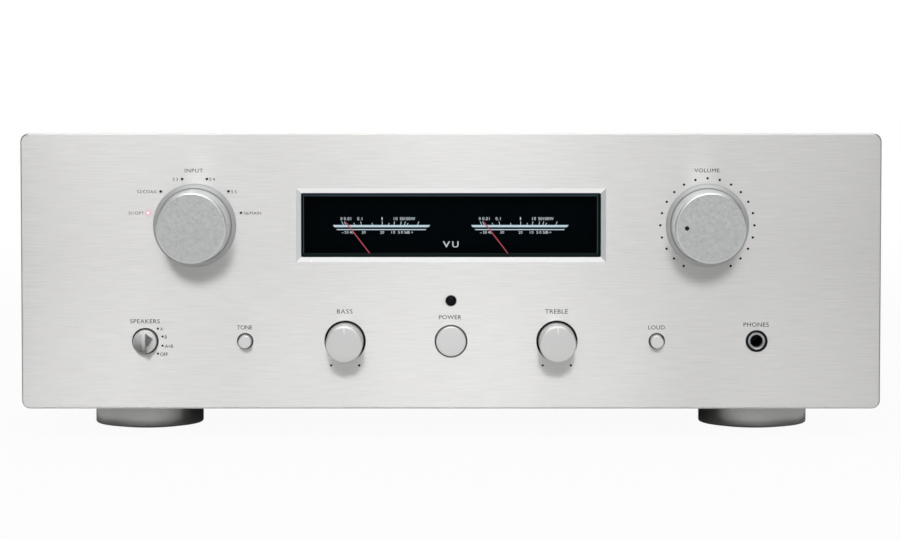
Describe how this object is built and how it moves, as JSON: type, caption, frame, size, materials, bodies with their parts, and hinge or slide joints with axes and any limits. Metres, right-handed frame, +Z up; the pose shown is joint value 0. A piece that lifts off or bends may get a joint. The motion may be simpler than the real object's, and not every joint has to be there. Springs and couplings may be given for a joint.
{
  "type": "integrated amplifier",
  "caption": "Full-width stereo integrated amplifier with a thick silver front plate, twin needle meters, large input and volume knobs, tone knobs, push buttons and round feet.",
  "frame": {"origin": "middle of the footprint box, on the surface that the foot pads stand on", "axes": "+X to the right as seen from the front, +Y from the front panel to the rear sockets, +Z up"},
  "size_m": [0.43, 0.3826, 0.1526],
  "materials": {
    "brushed_silver": "brushed along its length, clear anodised",
    "blasted_silver": "bead blasted, clear anodised",
    "satin_silver": "satin anodised",
    "silver_paint": "satin silver powder coat on steel sheet",
    "zinc_steel": "zinc plated, satin",
    "dark_foot": "turned, dark grey anodised",
    "rubber": "matt",
    "black_plastic": "matt moulded",
    "dial_black": "matt black, printed",
    "clear_acrylic": "clear, polished",
    "needle_red": "satin red",
    "gold": "gold plated, polished",
    "board_green": "green solder mask",
    "coil": "wound steel core and copper under amber tape",
    "heat_sink": "mill finish extrusion",
    "light_pipe": "clear moulded, polished"
  },
  "bodies": {
    "chassis": {"front_panel": "brushed_silver", "sub_panel": "zinc_steel", "base_pan": "silver_paint", "rear_panel": "silver_paint", "top_cover": "silver_paint", "window_lens": "clear_acrylic", "meter_housing": "black_plastic", "meter_dial": "dial_black", "left_movement": "zinc_steel", "right_movement": "zinc_steel", "input_knob_ring": "blasted_silver", "volume_knob_ring": "blasted_silver", "input_encoder": "zinc_steel", "volume_control": "zinc_steel", "bass_control": "zinc_steel", "treble_control": "zinc_steel", "speaker_switch": "zinc_steel", "power_switch": "black_plastic", "control_board": "board_green", "phones_socket": "zinc_steel", "phones_nut": "black_plastic", "remote_eye_lens": "black_plastic", "source_light_guide": "light_pipe", "left_heat_sink": "heat_sink", "right_heat_sink": "heat_sink", "left_amplifier_board": "board_green", "right_amplifier_board": "board_green", "mains_transformer": "coil", "transformer_clamp": "zinc_steel", "power_supply_board": "board_green", "line_input_board": "black_plastic", "digital_sockets": "black_plastic", "mains_inlet": "black_plastic", "speaker_terminals": "black_plastic", "foot_front_left": "dark_foot", "foot_pad_front_left": "rubber", "foot_front_right": "dark_foot", "foot_pad_front_right": "rubber", "foot_rear_left": "dark_foot", "foot_pad_rear_left": "rubber", "foot_rear_right": "dark_foot", "foot_pad_rear_right": "rubber"},
    "input_knob": {"input_knob": "blasted_silver"},
    "volume_knob": {"volume_knob": "blasted_silver"},
    "bass_knob": {"bass_knob": "satin_silver"},
    "treble_knob": {"treble_knob": "satin_silver"},
    "speaker_knob": {"speaker_knob": "satin_silver"},
    "tone_button": {"tone_button": "satin_silver"},
    "loudness_button": {"loudness_button": "satin_silver"},
    "power_button": {"power_button": "satin_silver"},
    "left_needle": {"left_needle": "needle_red"},
    "right_needle": {"right_needle": "needle_red"},
    "terminal_cap_1": {"terminal_cap_1": "gold"},
    "terminal_cap_2": {"terminal_cap_2": "gold"},
    "terminal_cap_3": {"terminal_cap_3": "gold"},
    "terminal_cap_4": {"terminal_cap_4": "gold"},
    "terminal_cap_5": {"terminal_cap_5": "gold"},
    "terminal_cap_6": {"terminal_cap_6": "gold"},
    "terminal_cap_7": {"terminal_cap_7": "gold"},
    "terminal_cap_8": {"terminal_cap_8": "gold"}
  },
  "joints": [
    {"name": "input_turn", "type": "hinge", "parent": "chassis", "child": "input_knob", "pos_m": [-0.1281, -0.1673, 0.1067], "axis": [0, 1, 0], "continuous": true},
    {"name": "volume_turn", "type": "hinge", "parent": "chassis", "child": "volume_knob", "pos_m": [0.1281, -0.1673, 0.1067], "axis": [0, 1, 0], "range_deg": [-60, 240]},
    {"name": "bass_turn", "type": "hinge", "parent": "chassis", "child": "bass_knob", "pos_m": [-0.053, -0.1673, 0.0486], "axis": [0, 1, 0], "range_deg": [-150, 150]},
    {"name": "treble_turn", "type": "hinge", "parent": "chassis", "child": "treble_knob", "pos_m": [0.053, -0.1673, 0.0486], "axis": [0, 1, 0], "range_deg": [-150, 150]},
    {"name": "speaker_turn", "type": "hinge", "parent": "chassis", "child": "speaker_knob", "pos_m": [-0.153, -0.1673, 0.0486], "axis": [0, 1, 0], "range_deg": [-30, 60]},
    {"name": "tone_press", "type": "slide", "parent": "chassis", "child": "tone_button", "axis": [0, 1, 0], "range_m": [0, 0.002], "stiffness_N_per_m": 300, "springref_m": -0.003},
    {"name": "loudness_press", "type": "slide", "parent": "chassis", "child": "loudness_button", "axis": [0, 1, 0], "range_m": [0, 0.002], "stiffness_N_per_m": 300, "springref_m": -0.003},
    {"name": "power_press", "type": "slide", "parent": "chassis", "child": "power_button", "axis": [0, 1, 0], "range_m": [0, 0.0015], "stiffness_N_per_m": 300, "springref_m": -0.003},
    {"name": "left_needle_swing", "type": "hinge", "parent": "chassis", "child": "left_needle", "pos_m": [-0.0336, -0.1588, 0.0826], "axis": [0, 1, 0], "range_deg": [-3.5, 73.3], "stiffness_Nm_per_rad": 0.0001},
    {"name": "right_needle_swing", "type": "hinge", "parent": "chassis", "child": "right_needle", "pos_m": [0.0358, -0.1588, 0.0826], "axis": [0, 1, 0], "range_deg": [-3.5, 73.3], "stiffness_Nm_per_rad": 0.0001},
    {"name": "terminal_cap_1_turn", "type": "hinge", "parent": "chassis", "child": "terminal_cap_1", "pos_m": [-0.09175, 0.18, 0.0531], "axis": [0, 1, 0], "range_deg": [0, 1080]},
    {"name": "terminal_cap_2_turn", "type": "hinge", "parent": "chassis", "child": "terminal_cap_2", "pos_m": [-0.09175, 0.18, 0.0851], "axis": [0, 1, 0], "range_deg": [0, 1080]},
    {"name": "terminal_cap_3_turn", "type": "hinge", "parent": "chassis", "child": "terminal_cap_3", "pos_m": [-0.06175, 0.18, 0.0531], "axis": [0, 1, 0], "range_deg": [0, 1080]},
    {"name": "terminal_cap_4_turn", "type": "hinge", "parent": "chassis", "child": "terminal_cap_4", "pos_m": [-0.06175, 0.18, 0.0851], "axis": [0, 1, 0], "range_deg": [0, 1080]},
    {"name": "terminal_cap_5_turn", "type": "hinge", "parent": "chassis", "child": "terminal_cap_5", "pos_m": [-0.03175, 0.18, 0.0531], "axis": [0, 1, 0], "range_deg": [0, 1080]},
    {"name": "terminal_cap_6_turn", "type": "hinge", "parent": "chassis", "child": "terminal_cap_6", "pos_m": [-0.03175, 0.18, 0.0851], "axis": [0, 1, 0], "range_deg": [0, 1080]},
    {"name": "terminal_cap_7_turn", "type": "hinge", "parent": "chassis", "child": "terminal_cap_7", "pos_m": [-0.00175, 0.18, 0.0531], "axis": [0, 1, 0], "range_deg": [0, 1080]},
    {"name": "terminal_cap_8_turn", "type": "hinge", "parent": "chassis", "child": "terminal_cap_8", "pos_m": [-0.00175, 0.18, 0.0851], "axis": [0, 1, 0], "range_deg": [0, 1080]}
  ]
}
